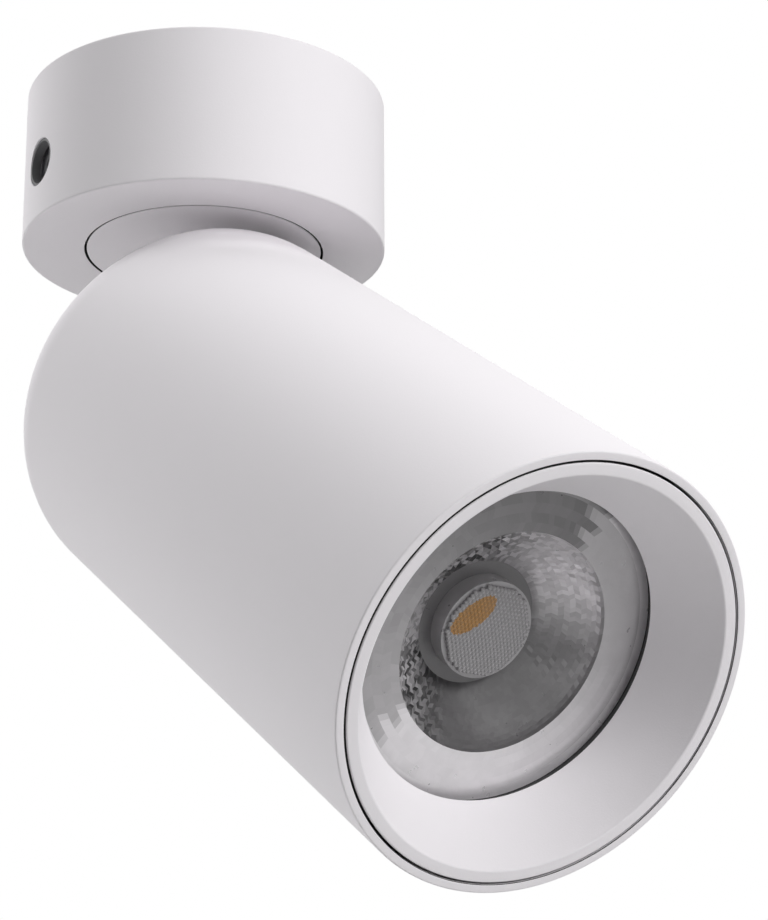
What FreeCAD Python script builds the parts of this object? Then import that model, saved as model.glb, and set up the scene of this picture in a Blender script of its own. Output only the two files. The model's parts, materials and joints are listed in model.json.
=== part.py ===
import FreeCAD, Part
import os

import Sketcher
from FreeCAD import Vector

# Surface mounted ceiling spotlight: a round ceiling canopy, a swivel disc that
# turns about the vertical axis, and a tubular head that tilts below it.
# Millimetres. The origin is on the ceiling, in the middle of the canopy, and Z
# points up, so everything lies below zero. The head hangs towards -Y.

os.makedirs("parts", exist_ok=True)
doc = FreeCAD.newDocument("ceiling_spotlight")

# ---------------------------------------------------------------- dimensions

DIMENSIONS = {
    # pose in which the light is shown
    "tilt_rest": 55.0,
    "pan_rest": 5.0,
    # canopy
    "canopy_radius": 41.0,
    "canopy_height": 36.0,
    "canopy_wall": 2.5,
    "canopy_floor": 3.0,
    "canopy_edge": 0.5,
    "floor_rim": 12.0,
    "disc_gap": 0.5,
    "boss_height": 1.5,
    "boss_radius": 3.5,
    "boss_margin": 1.0,
    "screw_play": 0.05,
    "seat_play": 0.1,
    # side fixing
    "side_hole_radius": 5.5,
    "side_hole_drop": 22.7,
    "bush_wall": 0.6,
    "bush_recess": 0.4,
    "side_screw_radius": 3.0,
    "side_screw_length": 6.0,
    "side_socket_radius": 1.5,
    # ceiling bracket
    "bracket_sheet": 2.0,
    "tab_drop": 28.0,
    "slot_place": 24.0,
    "slot_length": 10.0,
    "slot_radius": 2.3,
    "cable_hole_radius": 6.0,
    "wing_width": 28.0,
    "wing_reach": 30.0,
    # terminal block and earth screw
    "block_length": 26.0,
    "block_width": 15.0,
    "block_height": 12.0,
    "block_place": 20.0,
    "terminal_pitch": 8.0,
    "terminal_radius": 1.8,
    "terminal_recess": 1.0,
    "terminal_screw_length": 4.0,
    "terminal_well_depth": 6.0,
    "earth_place": 13.0,
    "earth_head_radius": 3.5,
    "earth_head_height": 2.4,
    "earth_screw_radius": 2.0,
    # swivel
    "disc_thickness": 3.0,
    "spindle_radius": 5.0,
    "spindle_bore": 3.5,
    "spindle_top_drop": 20.0,
    "spindle_grip": 3.0,
    "running_gap": 0.05,
    "plate_gap": 2.5,
    "plate_sheet": 2.0,
    "pan_bush_radius": 7.0,
    "slide_washer_radius": 16.0,
    "upper_washer": 1.0,
    "upper_washer_radius": 11.0,
    "spring_washer": 0.6,
    "spindle_nut_across": 14.0,
    "spindle_nut_height": 5.0,
    "stop_inset": 4.5,
    "stop_radius": 0.85,
    "stop_gap": 0.3,
    # arm
    "arm_boss_radius": 8.0,
    "arm_boss_height": 3.5,
    "neck_width": 12.0,
    "neck_depth": 10.0,
    "neck_bore": 3.0,
    "neck_bore_stop": 11.8,
    "eye_radius": 7.5,
    "pivot_tuck": 4.7,
    "pivot_radius": 3.0,
    # head
    "head_radius": 42.5,
    "head_length": 156.5,
    "pivot_setback": 10.8,
    "head_rounding": 15.0,
    "tube_wall": 1.7,
    "rear_wall": 2.5,
    "rim_chamfer": 0.3,
    "slot_gap": 0.7,
    "slot_up": 29.5,
    "slot_end_gap": 0.8,
    "slot_overrun": 4.0,
    "pillar_radius": 3.5,
    "pillar_end": 14.0,
    # tilt bracket
    "bracket_gap": 2.8,
    "bracket_plate": 2.5,
    "lug_sheet": 2.5,
    "friction_washer": 1.0,
    "friction_washer_radius": 7.0,
    "wire_window_radius": 5.0,
    "wire_window_place": 22.0,
    "tilt_spring": 0.8,
    "pivot_head_radius": 5.0,
    "pivot_head_height": 4.0,
    "pivot_socket_depth": 2.0,
    "pivot_nut_across": 10.0,
    "pivot_nut_height": 5.0,
    # small screws
    "small_screw_radius": 1.5,
    "small_head_radius": 2.6,
    "small_head_height": 2.0,
    "small_screw_length": 9.0,
    "short_screw_length": 5.0,
    # spacer posts
    "post_radius": 3.0,
    # driver
    "driver_length": 40.0,
    "driver_width": 32.0,
    "driver_height": 28.0,
    "driver_wall": 1.5,
    "ear_length": 6.0,
    "ear_width": 8.0,
    "ear_sheet": 2.0,
    "board_sheet": 1.6,
    "board_play": 0.5,
    "transformer_side": 15.0,
    "transformer_height": 13.0,
    "capacitor_radius": 5.0,
    "capacitor_height": 16.0,
    "component_place": 9.0,
    # heatsink
    "heatsink_gap": 2.3,
    "heatsink_drop": 32.8,
    "heatsink_length": 52.0,
    "heatsink_base": 8.0,
    "heatsink_core": 14.0,
    "fin_count": 24.0,
    "fin_sheet": 1.6,
    "heatsink_boss": 4.2,
    # light engine
    "pad_side": 24.0,
    "pad_sheet": 0.5,
    "cob_sheet": 1.0,
    "phosphor_radius": 8.5,
    "phosphor_sheet": 0.6,
    "holder_radius": 22.0,
    "holder_bore": 9.3,
    "holder_height": 3.0,
    "holder_recess": 1.6,
    "holder_screw_circle": 18.6,
    # lens
    "lens_inset": 9.4,
    "lens_drop": 15.3,
    "lens_flange": 3.2,
    "lens_lip": 1.9,
    "lens_rear_radius": 12.0,
    "lens_rear_gap": 0.3,
    "well_depth": 10.0,
    "dome_height": 4.6,
    "dome_crown": 1.0,
    "lens_pocket_radius": 9.0,
    "lens_pocket_depth": 3.0,
    # lens ring
    "ring_wall": 1.9,
    "ring_play": 0.2,
    "ledge_height": 2.0,
    "ledge_width": 1.4,
    "ring_foot_gap": 2.5,
    "ring_foot_height": 2.5,
    "ring_screw_inset": 2.3,
    "ring_screw_head": 2.1,
    # baffle cone
    "mouth_rim": 4.5,
    "baffle_gap": 0.4,
    "baffle_depth": 13.1,
    "baffle_overlap": 1.1,
    "baffle_wall": 1.2,
    "collar_start": 3.0,
    "collar_end": 8.0,
}


class Size:
    """A length with its number and the sheet formula that gives it."""

    def __init__(self, value, formula):
        self.value = value
        self.formula = formula

    def joined(self, sign, other, swap=False):
        other = as_size(other)
        first, second = (other, self) if swap else (self, other)
        numbers = {
            "+": first.value + second.value,
            "-": first.value - second.value,
            "*": first.value * second.value,
        }
        return Size(numbers[sign], f"({first.formula} {sign} {second.formula})")

    def __add__(self, other):
        return self.joined("+", other)

    def __radd__(self, other):
        return self.joined("+", other, swap=True)

    def __sub__(self, other):
        return self.joined("-", other)

    def __rsub__(self, other):
        return self.joined("-", other, swap=True)

    def __mul__(self, other):
        return self.joined("*", other)

    def __rmul__(self, other):
        return self.joined("*", other, swap=True)

    def __neg__(self):
        return self * -1.0


def as_size(number):
    return number if isinstance(number, Size) else Size(float(number), repr(float(number)))


class Names:
    """Gives each driving dimension as an attribute."""


def fill_sheet():
    sheet = doc.addObject("Spreadsheet::Sheet", "Sizes")
    names = Names()
    for row, (alias, number) in enumerate(DIMENSIONS.items(), start=1):
        sheet.set(f"A{row}", alias)
        sheet.set(f"B{row}", str(number))
        sheet.setAlias(f"B{row}", alias)
        setattr(names, alias, Size(number, f"Sizes.{alias}"))
    doc.recompute()
    return names


mm = fill_sheet()

# ---------------------------------------------------------- derived distances

canopy_inner = mm.canopy_radius - mm.canopy_wall
disc_radius = canopy_inner - mm.floor_rim
boss_circle = disc_radius + mm.disc_gap + mm.boss_margin + mm.boss_radius
plate_radius = canopy_inner - mm.plate_gap
stop_circle = disc_radius - mm.stop_inset
strap_half = canopy_inner * 0.96
strap_width = canopy_inner * 0.52
floor_drop = mm.canopy_height - mm.canopy_floor
plate_bottom = -(floor_drop - mm.boss_height)
plate_top = plate_bottom + mm.plate_sheet
disc_bottom = -mm.canopy_height
disc_top = disc_bottom + mm.disc_thickness
pivot_drop = mm.head_radius - mm.pivot_tuck
pivot_height = -(mm.canopy_height + pivot_drop)
spindle_bottom = disc_bottom - mm.spindle_grip

front = mm.head_length - mm.pivot_setback
rear = -mm.pivot_setback
rear_inside = rear + mm.rear_wall
tube_bore = mm.head_radius - mm.tube_wall
pillar_place = tube_bore * 0.52
post_circle = tube_bore * 0.76
bracket_front = mm.pillar_end + mm.bracket_plate
lug_inside = mm.neck_width * 0.5 + mm.friction_washer
lug_outside = lug_inside + mm.lug_sheet
heatsink_radius = tube_bore - mm.heatsink_gap
heatsink_front = front - mm.heatsink_drop
heatsink_rear = heatsink_front - mm.heatsink_length
lens_radius = tube_bore - mm.lens_inset
well_radius = lens_radius * 0.691
well_floor_radius = lens_radius * 0.3885
dome_radius = lens_radius * 0.3057
lens_face = front - mm.lens_drop
ledge_top = lens_face - mm.lens_flange
ring_foot_radius = tube_bore - mm.ring_foot_gap
ring_screw_circle = ring_foot_radius - mm.ring_screw_inset
baffle_radius = tube_bore - mm.baffle_gap
mouth_radius = mm.head_radius - mm.mouth_rim

PLACES = {
    "root": "placement(vector(0; 0; 0); rotation(0; 0; 0))",
    "swivel": "placement(vector(0; 0; 0); rotation(Sizes.pan_rest; 0; 0))",
    "head": f"placement(vector(0; 0; {pivot_height.formula});"
            " rotation(Sizes.pan_rest; 0; 180 - Sizes.tilt_rest))",
}

# --------------------------------------------------------------- small tools

sub_parts = {}


def tie(thing, prop, size):
    """Bind a property to the sheet."""
    thing.setExpression(prop, as_size(size).formula)


def place(thing, x=0, y=0, z=0, turn=0, lean=0, about=0):
    """Bind a placement: turn about Z, lean about X, then about the origin's Z."""
    x, y, z = as_size(x), as_size(y), as_size(z)
    spot = f"vector({x.formula}; {y.formula}; {z.formula})"
    own = f"placement({spot}; rotation({turn}; 0; {lean}))"
    ring = f"placement(vector(0; 0; 0); rotation({about}; 0; 0))"
    thing.setExpression("Placement", f"{ring} * {own}")
    return thing


def cylinder(name, radius, start, length, x=0, y=0, about=0):
    thing = doc.addObject("Part::Cylinder", name)
    tie(thing, "Radius", radius)
    tie(thing, "Height", length)
    return place(thing, x, y, start, about=about)


def cross_cylinder(name, radius, start, length, y=0, z=0):
    """A cylinder along X."""
    thing = doc.addObject("Part::Cylinder", name)
    tie(thing, "Radius", radius)
    tie(thing, "Height", length)
    return place(thing, start, y, z, turn=90, lean=90)


def block(name, x, y, z, length, width, height):
    """A box with its lowest corner at x, y, z."""
    thing = doc.addObject("Part::Box", name)
    tie(thing, "Length", length)
    tie(thing, "Width", width)
    tie(thing, "Height", height)
    return place(thing, x, y, z)


def centred_block(name, length, width, start, height, x=0, y=0):
    """A box centred on x, y that stands on start."""
    x, y = as_size(x), as_size(y)
    return block(name, x - length * 0.5, y - width * 0.5, start, length, width, height)


def hexagon(name, across, start, height, about=0, x=0):
    """A hexagonal prism across its flats."""
    thing = doc.addObject("Part::Prism", name)
    thing.Polygon = 6
    tie(thing, "Circumradius", across * 0.57735)
    tie(thing, "Height", height)
    return place(thing, x, 0, start, about=about)


def joined(name, pieces):
    """Fuse several shapes, or wrap a single one so that it can be placed."""
    if len(pieces) == 1:
        thing = doc.addObject("Part::Compound", name)
        thing.Links = pieces
        return thing
    thing = doc.addObject("Part::MultiFuse", name)
    thing.Shapes = pieces
    return thing


def without(name, base, tools):
    thing = doc.addObject("Part::Cut", name)
    thing.Base = base
    thing.Tool = tools[0] if len(tools) == 1 else joined(name + "_tools", tools)
    return thing


def finish(node, thing, carrier):
    """Give a sub-part its label and its place, and keep it for the export."""
    thing.Label = node
    thing.setExpression("Placement", PLACES[carrier])
    sub_parts[node] = thing


def ring(node, carrier, radius, bore, start, height):
    outside = cylinder(node + "_outside", radius, start, height)
    inside = cylinder(node + "_inside", bore, start - 1, height + 2)
    finish(node, without(node + "_ring", outside, [inside]), carrier)


def screw(name, radius, tip, length, head_radius, head_height, head_up=True, **spot):
    """A cap screw along Z whose shank starts at tip."""
    tip = as_size(tip)
    shank = cylinder(name + "_shank", radius, tip, length, **spot)
    start = tip + length if head_up else tip - head_height
    head = cylinder(name + "_head", head_radius, start, head_height, **spot)
    return [shank, head]


# ----------------------------------------------------------- sketches, bodies


def plane_of(body, role):
    return next(o for o in body.Origin.OriginFeatures if o.Role == role)


def new_sketch(body, name, plane, start=None):
    sketch = body.newObject("Sketcher::SketchObject", name)
    sketch.AttachmentSupport = [(plane_of(body, plane), "")]
    sketch.MapMode = "FlatFace"
    if start is not None:
        tie(sketch, "AttachmentOffset.Base.z", start)
    return sketch


def pin_point(sketch, geometry, end, x, y, label):
    """Hold a point of the sketch at x, y from its origin."""
    for kind, size, letter in (("DistanceX", x, "x"), ("DistanceY", y, "y")):
        size = as_size(size)
        rule = Sketcher.Constraint(kind, -1, 1, geometry, end, size.value)
        index = sketch.addConstraint(rule)
        sketch.renameConstraint(index, label + letter)
        tie(sketch, f"Constraints.{label}{letter}", size)


def outline(body, name, points, plane="XZ_Plane", start=None):
    """A closed outline of straight runs through points."""
    sketch = new_sketch(body, name, plane, start)
    corners = [Vector(as_size(x).value, as_size(y).value, 0) for x, y in points]
    count = len(corners)
    for i in range(count):
        sketch.addGeometry(Part.LineSegment(corners[i], corners[(i + 1) % count]), False)
    for i in range(count):
        sketch.addConstraint(Sketcher.Constraint("Coincident", i, 2, (i + 1) % count, 1))
    for i, (x, y) in enumerate(points):
        pin_point(sketch, i, 1, x, y, f"p{i}")
    return sketch


def circle(body, name, x, y, radius, plane="XY_Plane", start=None):
    sketch = new_sketch(body, name, plane, start)
    x, y, radius = as_size(x), as_size(y), as_size(radius)
    centre = Vector(x.value, y.value, 0)
    sketch.addGeometry(Part.Circle(centre, Vector(0, 0, 1), radius.value), False)
    pin_point(sketch, 0, 3, x, y, "c")
    index = sketch.addConstraint(Sketcher.Constraint("Radius", 0, radius.value))
    sketch.renameConstraint(index, "r")
    tie(sketch, "Constraints.r", radius)
    return sketch


def new_body(name):
    return doc.addObject("PartDesign::Body", name)


def revolve(body, name, points):
    sketch = outline(body, name + "_outline", points)
    feature = body.newObject("PartDesign::Revolution", name)
    feature.Profile = sketch
    feature.ReferenceAxis = (sketch, ["V_Axis"])
    feature.Angle = 360
    return feature


def pad(body, name, sketch, length):
    feature = body.newObject("PartDesign::Pad", name)
    feature.Profile = sketch
    tie(feature, "Length", length)
    return feature


def pocket(body, name, sketch, length):
    """Cut from the sketch against its normal."""
    feature = body.newObject("PartDesign::Pocket", name)
    feature.Profile = sketch
    tie(feature, "Length", length)
    return feature


def pattern(body, name, feature, count):
    """Repeat a feature evenly about the sketch's normal."""
    copies = body.newObject("PartDesign::PolarPattern", name)
    copies.Originals = [feature]
    copies.Axis = (feature.Profile[0], ["N_Axis"])
    copies.Angle = 360
    tie(copies, "Occurrences", count)
    body.Tip = copies
    return copies


def circle_edge(shape, radius, height):
    """The name of the round edge of this radius at this height."""
    for index, edge in enumerate(shape.Edges, start=1):
        curve = edge.Curve
        if not isinstance(curve, Part.Circle):
            continue
        if abs(curve.Radius - radius) < 0.01 and abs(curve.Center.z - height) < 0.01:
            return f"Edge{index}"
    raise RuntimeError(f"no round edge of {radius} at {height}")


def round_edge(body, name, base, edge_radius, edge_height, rounding):
    doc.recompute()
    edge = circle_edge(base.Shape, edge_radius.value, edge_height.value)
    feature = body.newObject("PartDesign::Fillet", name)
    feature.Base = (base, [edge])
    tie(feature, "Radius", rounding)
    doc.recompute()
    return feature


# ------------------------------------------------------------------- canopy


def canopy_shell():
    """A turned cup, open at the ceiling, with a round opening for the disc."""
    body = new_body("CanopyShell")
    edge, height = mm.canopy_edge, mm.canopy_height
    opening = disc_radius + mm.disc_gap
    revolve(body, "CanopyCup", [
        (canopy_inner, 0),
        (mm.canopy_radius - edge, 0),
        (mm.canopy_radius, -edge),
        (mm.canopy_radius, edge - height),
        (mm.canopy_radius - edge, -height),
        (opening, -height),
        (opening, -floor_drop),
        (canopy_inner, -floor_drop),
    ])
    boss = circle(body, "CanopyBossOutline", 0, boss_circle, mm.boss_radius,
                  start=-floor_drop - 0.5)
    boss_pad = pad(body, "CanopyBoss", boss, mm.boss_height + 0.5)
    pattern(body, "CanopyBosses", boss_pad, 3)
    pilot = circle(body, "CanopyPilotOutline", 0, boss_circle,
                   mm.small_screw_radius + mm.screw_play, start=plate_bottom)
    pilot_cut = pocket(body, "CanopyPilot", pilot, mm.boss_height + mm.canopy_floor - 1)
    pattern(body, "CanopyPilots", pilot_cut, 3)
    side = circle(body, "CanopySideOutline", 0, -mm.side_hole_drop,
                  mm.side_hole_radius, plane="YZ_Plane")
    side_cut = pocket(body, "CanopySideHoles", side, mm.canopy_radius * 3)
    side_cut.Midplane = True
    body.Tip = side_cut
    finish("canopy_shell", body, "root")


def ceiling_bracket():
    """A strap across the canopy with two bent tabs and a wing for the terminals."""
    sheet = mm.bracket_sheet
    strap = centred_block("StrapPlate", strap_half * 2, strap_width,
                          -sheet, sheet)
    wing = block("StrapWing", mm.wing_width * -0.5, 0, -sheet, mm.wing_width,
                 mm.wing_reach, sheet)
    solids = [strap, wing]
    holes = [cylinder("StrapCableHole", mm.cable_hole_radius, -sheet - 1, sheet + 2)]
    earth_bore = mm.earth_screw_radius + mm.screw_play
    holes.append(cylinder("StrapEarthHole", earth_bore, -sheet - 1, sheet + 2,
                          x=-mm.earth_place))
    for name, side in (("Right", 1), ("Left", -1)):
        tab_start = strap_half - sheet if side > 0 else -strap_half
        solids.append(block("Tab" + name, tab_start, strap_width * -0.5,
                            -mm.tab_drop, sheet, strap_width, mm.tab_drop))
        straight = mm.slot_length - mm.slot_radius * 2
        holes.append(centred_block("Slot" + name, straight, mm.slot_radius * 2,
                                   -sheet - 1, sheet + 2, x=mm.slot_place * side))
        for end_name, end in (("Outer", 0.5), ("Inner", -0.5)):
            holes.append(cylinder("Slot" + name + end_name, mm.slot_radius, -sheet - 1,
                                  sheet + 2, x=mm.slot_place * side + straight * end))
        holes.append(cross_cylinder("TabHole" + name, mm.side_screw_radius + mm.screw_play,
                                    tab_start - 1, sheet + 2, z=-mm.side_hole_drop))
    finish("ceiling_bracket", without("Strap", joined("StrapSolid", solids), holes), "root")


def side_bushes():
    """Dark sleeves that line the two side holes."""
    radius = mm.side_hole_radius - mm.screw_play
    length = mm.canopy_wall - mm.bush_recess
    sleeves = []
    bores = []
    for name, side in (("Right", 1), ("Left", -1)):
        start = canopy_inner if side > 0 else -canopy_inner - length
        sleeves.append(cross_cylinder("Bush" + name, radius, start, length,
                                      z=-mm.side_hole_drop))
        bores.append(cross_cylinder("BushBore" + name, radius - mm.bush_wall, start - 1,
                                    length + 2, z=-mm.side_hole_drop))
    finish("side_bushes", without("Bushes", joined("BushBodies", sleeves), bores), "root")


def side_screws():
    """Headless socket screws in the bracket tabs, behind the side holes."""
    shanks = []
    sockets = []
    for name, side in (("Right", 1), ("Left", -1)):
        start = canopy_inner - mm.side_screw_length if side > 0 else -canopy_inner
        shanks.append(cross_cylinder("SideScrew" + name, mm.side_screw_radius, start,
                                     mm.side_screw_length, z=-mm.side_hole_drop))
        depth = mm.side_socket_radius * 2
        socket_start = canopy_inner - depth if side > 0 else -canopy_inner - 1
        sockets.append(cross_cylinder("SideSocket" + name, mm.side_socket_radius,
                                      socket_start, depth + 1, z=-mm.side_hole_drop))
    finish("side_screws", without("SideScrews", joined("SideShanks", shanks), sockets),
           "root")


def terminal_block():
    """A three pole screw terminal under the bracket's wing."""
    top = -mm.bracket_sheet
    body = centred_block("TerminalBody", mm.block_length, mm.block_width,
                         top - mm.block_height, mm.block_height, y=mm.block_place)
    holes = []
    for index in (-1, 0, 1):
        x = mm.terminal_pitch * index
        for row in (-1, 1):
            y = mm.block_place + mm.block_width * 0.25 * row
            holes.append(cylinder(f"TerminalWell{index + 1}{row + 1}",
                                  mm.terminal_radius + mm.screw_play,
                                  top - mm.block_height - 1,
                                  mm.terminal_well_depth, x=x, y=y))
    finish("terminal_block", without("Terminal", body, holes), "root")


def terminal_screws():
    """Six clamping screws in the terminal block."""
    screws = []
    start = -mm.bracket_sheet - mm.block_height + mm.terminal_recess
    for index in (-1, 0, 1):
        for row in (-1, 1):
            y = mm.block_place + mm.block_width * 0.25 * row
            screws.append(cylinder(f"TerminalScrew{index + 1}{row + 1}", mm.terminal_radius,
                                   start, mm.terminal_screw_length,
                                   x=mm.terminal_pitch * index, y=y))
    finish("terminal_screws", joined("TerminalScrews", screws), "root")


def earth_screw():
    """The protective earth screw on the strap."""
    head_start = -mm.bracket_sheet - mm.earth_head_height
    shank = cylinder("EarthShank", mm.earth_screw_radius, head_start,
                     mm.earth_head_height + mm.bracket_sheet, x=-mm.earth_place)
    head = cylinder("EarthHead", mm.earth_head_radius, head_start, mm.earth_head_height,
                    x=-mm.earth_place)
    finish("earth_screw", joined("Earth", [shank, head]), "root")


def pan_plate():
    """The steel plate that carries the swivel, on three bosses."""
    disc = cylinder("PanPlateDisc", plate_radius, plate_bottom, mm.plate_sheet)
    bore = mm.pan_bush_radius + mm.screw_play
    holes = [cylinder("PanPlateBore", bore, plate_bottom - 1, mm.plate_sheet + 2)]
    for index in range(3):
        holes.append(cylinder(f"PanPlateHole{index}", mm.small_screw_radius + mm.screw_play,
                              plate_bottom - 1, mm.plate_sheet + 2,
                              y=boss_circle, about=120 * index))
    holes.append(cylinder("PanStopHole", mm.stop_radius + mm.screw_play, plate_bottom - 1,
                          mm.plate_sheet + 2, y=stop_circle))
    finish("pan_plate", without("PanPlate", disc, holes), "root")


def pan_plate_screws():
    pieces = []
    length = mm.plate_sheet + mm.boss_height + 1
    for index in range(3):
        pieces += screw(f"PanScrew{index}", mm.small_screw_radius, plate_top - length,
                        length, mm.small_head_radius, mm.small_head_height,
                        y=boss_circle, about=120 * index)
    finish("pan_plate_screws", joined("PanPlateScrews", pieces), "root")


def pan_bush():
    ring("pan_bush", "root", mm.pan_bush_radius, mm.spindle_radius + mm.running_gap,
         plate_bottom, mm.plate_sheet)


def pan_stop_screw():
    """A stud that hangs from the plate and ends the pan travel."""
    length = mm.plate_sheet + mm.boss_height - mm.stop_gap
    finish("pan_stop_screw", joined("PanStopStud", [
        cylinder("PanStopShank", mm.stop_radius, plate_top - length, length,
                 y=stop_circle),
        cylinder("PanStopHead", mm.stop_radius * 2, plate_top, mm.stop_radius,
                 y=stop_circle),
    ]), "root")


# ------------------------------------------------------------------- swivel


def swivel_disc():
    """The disc that closes the canopy's opening, flush with its face."""
    body = new_body("SwivelDisc")
    edge = mm.canopy_edge * 0.5
    bore = mm.spindle_radius + mm.screw_play
    revolve(body, "DiscTurned", [
        (bore, disc_bottom),
        (disc_radius - edge, disc_bottom),
        (disc_radius, disc_bottom + edge),
        (disc_radius, disc_top),
        (bore, disc_top),
    ])
    pin = circle(body, "DiscPinOutline", 0, -stop_circle,
                 mm.stop_radius + mm.screw_play, start=disc_top)
    pin_cut = pocket(body, "DiscPinHole", pin, 2.0)
    body.Tip = pin_cut
    finish("swivel_disc", body, "swivel")


def pan_stop_pin():
    length = mm.boss_height - mm.stop_gap + 2
    finish("pan_stop_pin", joined("PanStopPin", [
        cylinder("PanPinShank", mm.stop_radius, disc_top - 2, length, y=-stop_circle),
    ]), "swivel")


def swivel_arm():
    """The cast arm: boss under the disc, hollow neck and the eye at the pivot."""
    boss = cylinder("ArmBoss", mm.arm_boss_radius, disc_bottom - mm.arm_boss_height,
                    mm.arm_boss_height)
    neck = centred_block("ArmNeck", mm.neck_width, mm.neck_depth, pivot_height,
                         disc_bottom - 1 - pivot_height)
    eye = cross_cylinder("ArmEye", mm.eye_radius, mm.neck_width * -0.5, mm.neck_width,
                         z=pivot_height)
    seat = cylinder("ArmSeat", mm.spindle_radius + mm.screw_play, spindle_bottom,
                    mm.spindle_grip + 1)
    bore_end = pivot_height + mm.neck_bore_stop
    bore = cylinder("ArmBore", mm.neck_bore, bore_end, disc_bottom - bore_end + 1)
    window = block("ArmWindow", -mm.neck_bore, mm.neck_depth * -0.5 - 1, bore_end,
                   mm.neck_bore * 2, mm.neck_depth * 0.5 + 1, mm.neck_bore * 2)
    pivot = cross_cylinder("ArmPivotBore", mm.pivot_radius + mm.running_gap,
                           mm.neck_width * -0.5 - 1, mm.neck_width + 2, z=pivot_height)
    arm = without("Arm", joined("ArmSolid", [boss, neck, eye]), [seat, bore, window, pivot])
    finish("swivel_arm", arm, "swivel")


def spindle():
    """The hollow threaded tube that the wires pass through."""
    ring("spindle", "swivel", mm.spindle_radius, mm.spindle_bore, spindle_bottom,
         -mm.spindle_top_drop - spindle_bottom)


def pan_stack():
    """Washers and nut that hang the swivel from the pan plate."""
    bore = mm.spindle_radius + mm.seat_play
    ring("lower_slide_washer", "swivel", mm.slide_washer_radius, bore, disc_top,
         plate_bottom - disc_top)
    ring("upper_slide_washer", "swivel", mm.upper_washer_radius, bore, plate_top,
         mm.upper_washer)
    spring_start = plate_top + mm.upper_washer
    ring("pan_spring_washer", "swivel", mm.upper_washer_radius - 2, bore, spring_start,
         mm.spring_washer)
    nut_start = spring_start + mm.spring_washer
    nut = hexagon("SpindleNutBody", mm.spindle_nut_across, nut_start,
                  mm.spindle_nut_height)
    thread = cylinder("SpindleNutThread", mm.spindle_radius + mm.screw_play,
                      nut_start - 1, mm.spindle_nut_height + 2)
    finish("spindle_nut", without("SpindleNut", nut, [thread]), "swivel")


# --------------------------------------------------------------------- head
# Drawn about the pivot: X is the tilt axis, Y the head's upper side and Z the
# way the light shines.


def head_housing():
    """The one piece tube with its rounded back, slot and four inner pillars."""
    body = new_body("HeadHousing")
    chamfer = mm.rim_chamfer
    shell = revolve(body, "HousingTube", [
        (0, rear),
        (mm.head_radius, rear),
        (mm.head_radius, front - chamfer),
        (mm.head_radius - chamfer, front),
        (tube_bore, front),
        (tube_bore, rear_inside),
        (0, rear_inside),
    ])
    outer = round_edge(body, "HousingRounding", shell, mm.head_radius, rear,
                       mm.head_rounding)
    round_edge(body, "HousingInnerRounding", outer, tube_bore, rear_inside,
               mm.head_rounding - mm.rear_wall)
    root = rear_inside - 0.6
    pillar = circle(body, "PillarOutline", pillar_place, pillar_place,
                    mm.pillar_radius, start=root)
    pillar_pad = pad(body, "Pillar", pillar, mm.pillar_end - root)
    pattern(body, "Pillars", pillar_pad, 4)
    pilot = circle(body, "PillarPilotOutline", pillar_place, pillar_place,
                   mm.small_screw_radius + mm.screw_play, start=mm.pillar_end)
    pilot_cut = pocket(body, "PillarPilot", pilot, mm.small_screw_length)
    pattern(body, "PillarPilots", pilot_cut, 4)
    half = mm.neck_width * 0.5 + mm.slot_gap
    slot_down = mm.neck_depth * 0.5 + mm.slot_end_gap
    slot = outline(body, "SlotOutline", [
        (-half, -slot_down),
        (half, -slot_down),
        (half, mm.slot_up),
        (-half, mm.slot_up),
    ], plane="XY_Plane", start=rear_inside + 1)
    slot_cut = pocket(body, "Slot", slot, mm.rear_wall + mm.slot_overrun)
    body.Tip = slot_cut
    finish("head_housing", body, "head")


def tilt_bracket():
    """The plate on the pillars with the two lugs that hold the pivot."""
    plate = cylinder("BracketPlate", tube_bore - mm.bracket_gap, mm.pillar_end,
                     mm.bracket_plate)
    solids = [plate]
    for name, start in (("Right", lug_inside), ("Left", -lug_outside)):
        solids.append(block("Lug" + name, start, -mm.eye_radius, 0, mm.lug_sheet,
                            mm.eye_radius * 2, mm.pillar_end + 1))
        solids.append(cross_cylinder("LugEnd" + name, mm.eye_radius, start, mm.lug_sheet))
    through = mm.bracket_plate + 2
    below = mm.pillar_end - 1
    holes = [
        cross_cylinder("LugBore", mm.pivot_radius + mm.screw_play, -lug_outside - 1,
                       lug_outside * 2 + 2),
        cylinder("WireWindow", mm.wire_window_radius, below, through,
                 y=-mm.wire_window_place),
    ]
    bore = mm.small_screw_radius + mm.screw_play
    for index in range(4):
        holes.append(cylinder(f"PlateHole{index}", bore, below, through,
                              x=pillar_place, y=pillar_place, about=90 * index))
    for index in range(3):
        holes.append(cylinder(f"PlatePostHole{index}", bore, below, through,
                              y=post_circle, about=120 * index))
    ear_place = (mm.driver_length + mm.ear_length) * 0.5
    for name, side in (("Right", 1), ("Left", -1)):
        holes.append(cylinder("PlateEarHole" + name, bore, below, through,
                              x=ear_place * side))
    finish("tilt_bracket", without("TiltBracket", joined("BracketSolid", solids), holes),
           "head")


def bracket_screws():
    pieces = []
    length = mm.small_screw_length
    for index in range(4):
        pieces += screw(f"BracketScrew{index}", mm.small_screw_radius,
                        bracket_front - length, length, mm.small_head_radius,
                        mm.small_head_height, x=pillar_place, y=pillar_place,
                        about=90 * index)
    finish("bracket_screws", joined("BracketScrews", pieces), "head")


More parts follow.
